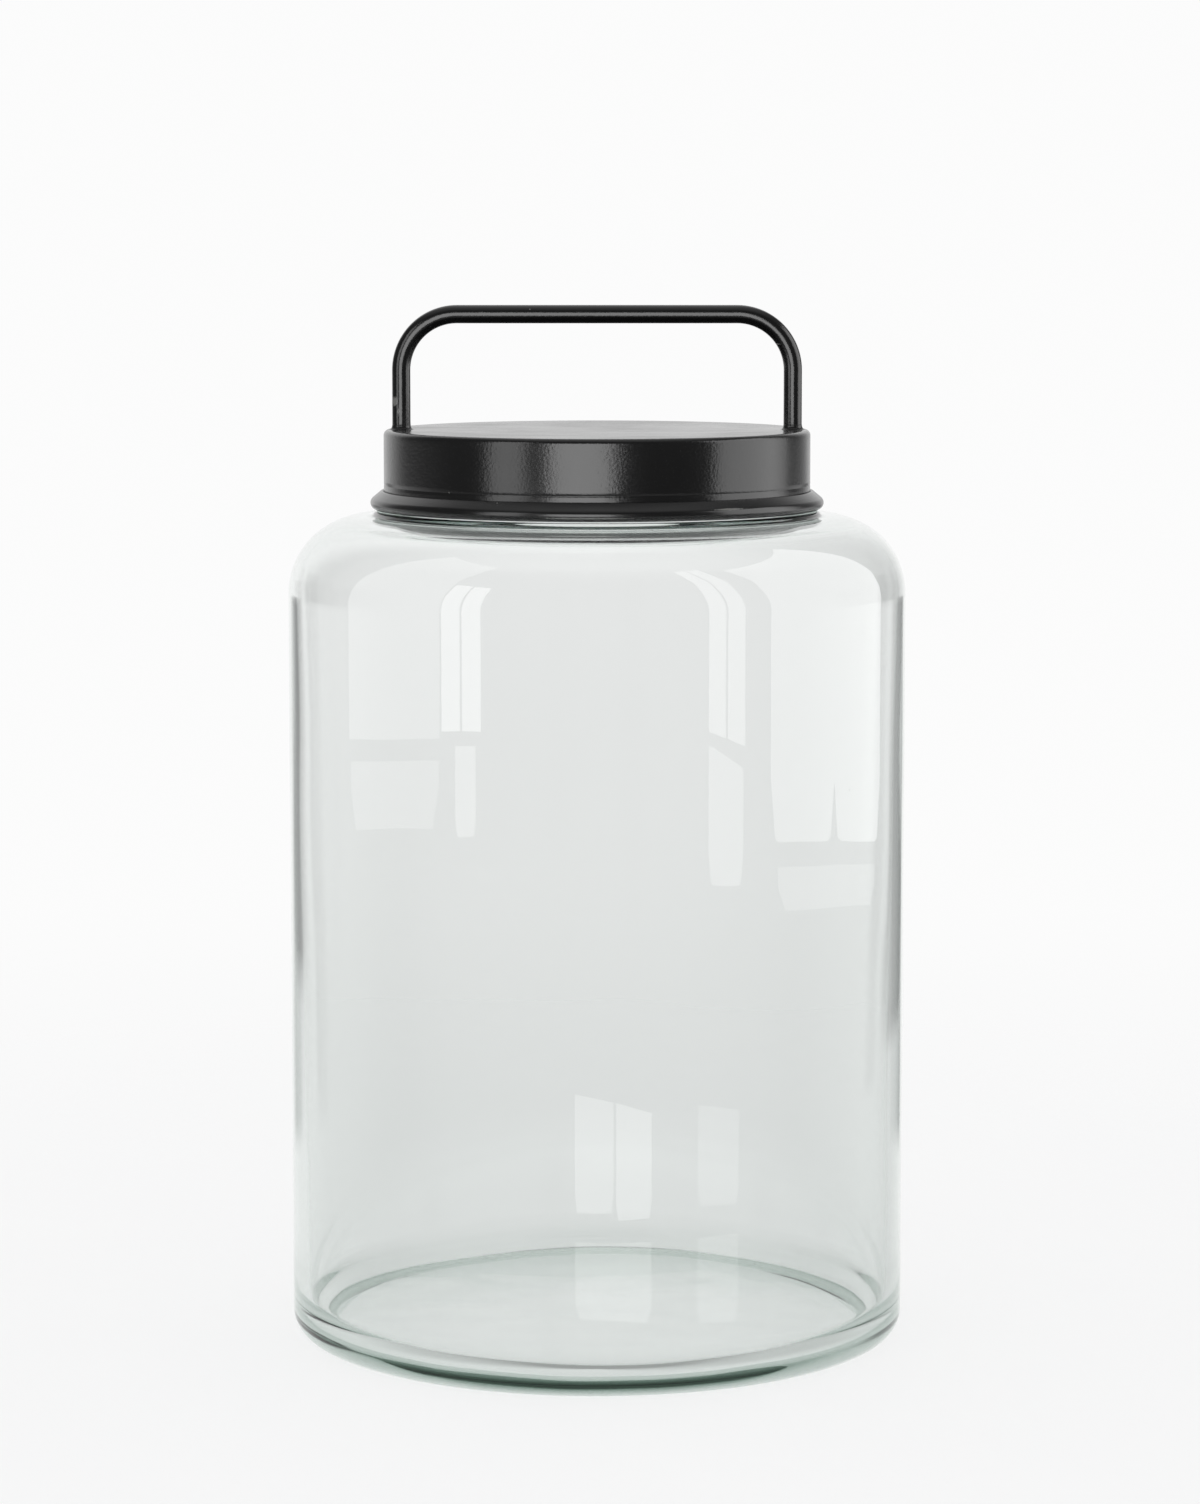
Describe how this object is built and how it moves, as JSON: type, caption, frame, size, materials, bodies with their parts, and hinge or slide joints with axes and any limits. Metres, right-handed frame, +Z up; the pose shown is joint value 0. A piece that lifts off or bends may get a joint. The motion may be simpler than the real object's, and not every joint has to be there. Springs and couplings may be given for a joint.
{
  "type": "lidded glass canister",
  "caption": "Large clear glass storage jar with a rounded shoulder, a lift-off black steel cap lid, a rolled rim bead and a bent-rod carrying handle.",
  "frame": {"origin": "centre of the jar's foot, on the surface that it stands on", "axes": "+Z up along the jar's axis; the handle's bar runs along X"},
  "size_m": [0.2499, 0.25, 0.4197],
  "materials": {
    "clear_glass": "clear, smooth, faint grey-green tint in the thick edges",
    "silicone": "matte",
    "black_lid": "satin powder coat with fine orange peel",
    "black_bead": "satin powder coat, rubbed a little brighter along its crest",
    "black_rod": "satin powder coat over a bent rod",
    "black_weld": "satin powder coat pooled over a weld"
  },
  "bodies": {
    "jar": {"glass_jar": "clear_glass"},
    "seal": {"seal_ring": "silicone"},
    "lid": {"lid_cap": "black_lid", "rim_bead": "black_bead", "handle_rod": "black_rod", "handle_welds": "black_weld"}
  },
  "joints": [
    {"name": "lid_lift", "type": "slide", "parent": "jar", "child": "seal", "axis": [0, 0, 1], "range_m": [0, 0.12]},
    {"name": "lid_turn", "type": "hinge", "parent": "seal", "child": "lid", "pos_m": [0, 0, 0.3687], "axis": [0, 0, 1], "continuous": true}
  ]
}
